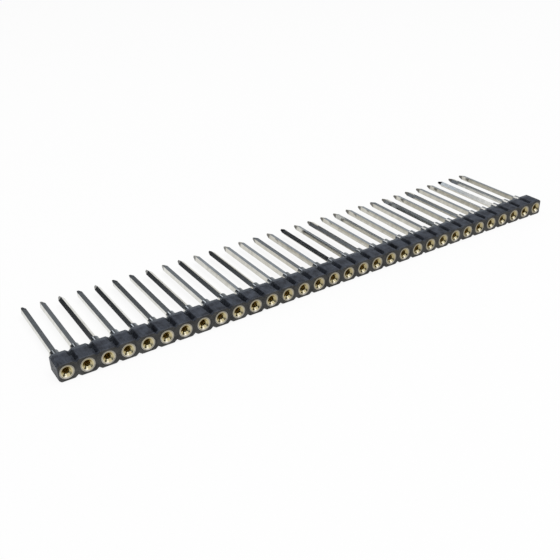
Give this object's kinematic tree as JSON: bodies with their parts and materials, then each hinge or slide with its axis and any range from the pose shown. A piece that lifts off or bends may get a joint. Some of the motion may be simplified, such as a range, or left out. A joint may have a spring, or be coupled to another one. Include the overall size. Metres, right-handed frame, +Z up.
{
  "type": "wire wrap socket strip",
  "caption": "Single-row black socket strip with round gold-lined mouths on one side and long square silver wire wrap tails on the other, lying on its side.",
  "frame": {"origin": "centre of the footprint, on the surface that the strip lies on", "axes": "+X along the row of sockets, +Y from the mouths towards the tail tips, +Z up"},
  "size_m": [0.0808, 0.0172, 0.0024],
  "materials": {
    "housing": "moulded glass-filled polyester, slightly blue black",
    "sleeve": "turned brass, tin plated",
    "clip": "formed beryllium copper, gold plated"
  },
  "bodies": {
    "root": {"housing": "housing", "contact_01": "sleeve", "contact_02": "sleeve", "contact_03": "sleeve", "contact_04": "sleeve", "contact_05": "sleeve", "contact_06": "sleeve", "contact_07": "sleeve", "contact_08": "sleeve", "contact_09": "sleeve", "contact_10": "sleeve", "contact_11": "sleeve", "contact_12": "sleeve", "contact_13": "sleeve", "contact_14": "sleeve", "contact_15": "sleeve", "contact_16": "sleeve", "contact_17": "sleeve", "contact_18": "sleeve", "contact_19": "sleeve", "contact_20": "sleeve", "contact_21": "sleeve", "contact_22": "sleeve", "contact_23": "sleeve", "contact_24": "sleeve", "contact_25": "sleeve", "contact_26": "sleeve", "contact_27": "sleeve", "contact_28": "sleeve", "contact_29": "sleeve", "contact_30": "sleeve", "contact_31": "sleeve", "contact_32": "sleeve", "clips_01_02": "clip", "clips_03_04": "clip", "clips_05_06": "clip", "clips_07_08": "clip", "clips_09_10": "clip", "clips_11_12": "clip", "clips_13_14": "clip", "clips_15_16": "clip", "clips_17_18": "clip", "clips_19_20": "clip", "clips_21_22": "clip", "clips_23_24": "clip", "clips_25_26": "clip", "clips_27_28": "clip", "clips_29_30": "clip", "clips_31_32": "clip"}
  },
  "joints": []
}
